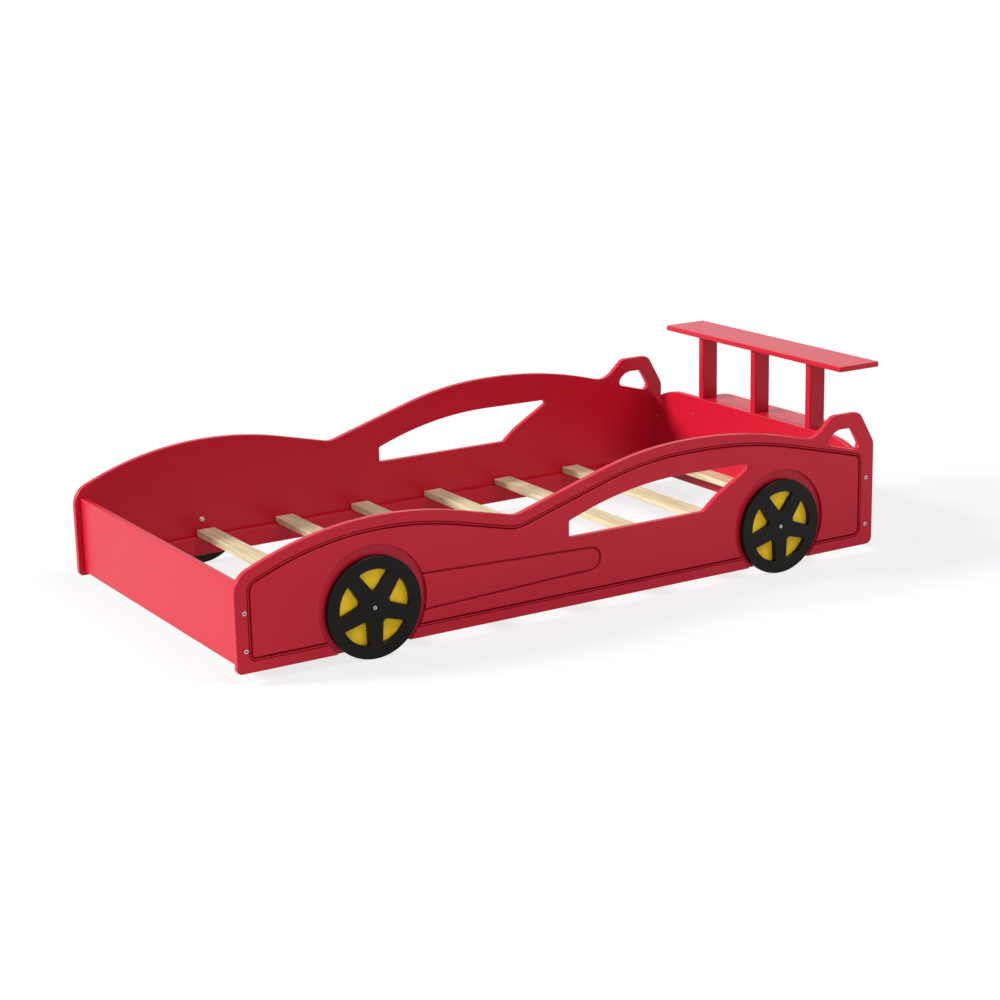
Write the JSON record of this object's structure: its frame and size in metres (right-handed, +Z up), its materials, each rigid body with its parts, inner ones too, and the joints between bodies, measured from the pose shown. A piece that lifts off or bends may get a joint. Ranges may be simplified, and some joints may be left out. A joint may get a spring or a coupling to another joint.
{
  "type": "car bed for children",
  "caption": "Children's bed shaped like a racing car: routed side panels on wheel discs, footboard, headboard, slatted base, and a tail wing on posts over a rear shelf.",
  "frame": {"origin": "on the floor, under the middle of the bed's overall length and width", "axes": "-X towards the car's front, +Y towards its right side, +Z up; the bed stands on its four wheel discs"},
  "size_m": [2.078, 1.049, 0.523],
  "materials": {
    "red_lacquer": "satin lacquer on fibreboard",
    "black_lacquer": "satin lacquer on fibreboard",
    "yellow_lacquer": "satin lacquer on fibreboard",
    "pine": "planed and untreated",
    "beech": "turned and untreated",
    "zinc_plated_steel": "zinc plated",
    "lacquered_steel": "lacquered over with the rails"
  },
  "bodies": {
    "root": {"left_side_panel": "red_lacquer", "right_side_panel": "red_lacquer", "footboard": "red_lacquer", "headboard": "red_lacquer", "rear_shelf": "red_lacquer", "shelf_batten": "red_lacquer", "spoiler_wing": "red_lacquer", "left_spoiler_post": "red_lacquer", "middle_spoiler_post": "red_lacquer", "right_spoiler_post": "red_lacquer", "front_left_wheel": "black_lacquer", "front_right_wheel": "black_lacquer", "rear_left_wheel": "black_lacquer", "rear_right_wheel": "black_lacquer", "front_left_wheel_inlay": "yellow_lacquer", "front_right_wheel_inlay": "yellow_lacquer", "rear_left_wheel_inlay": "yellow_lacquer", "rear_right_wheel_inlay": "yellow_lacquer", "left_slat_rail": "red_lacquer", "right_slat_rail": "red_lacquer", "slat_1": "pine", "slat_2": "pine", "slat_3": "pine", "slat_4": "pine", "slat_5": "pine", "slat_6": "pine", "slat_7": "pine", "slat_8": "pine", "panel_bolts": "zinc_plated_steel", "barrel_nuts": "zinc_plated_steel", "wheel_bolts": "zinc_plated_steel", "wheel_washers": "zinc_plated_steel", "wheel_nuts": "zinc_plated_steel", "rail_screws": "lacquered_steel", "batten_screws": "zinc_plated_steel", "shelf_screws": "zinc_plated_steel", "post_screws": "zinc_plated_steel", "wing_dowels": "beech"}
  },
  "joints": []
}
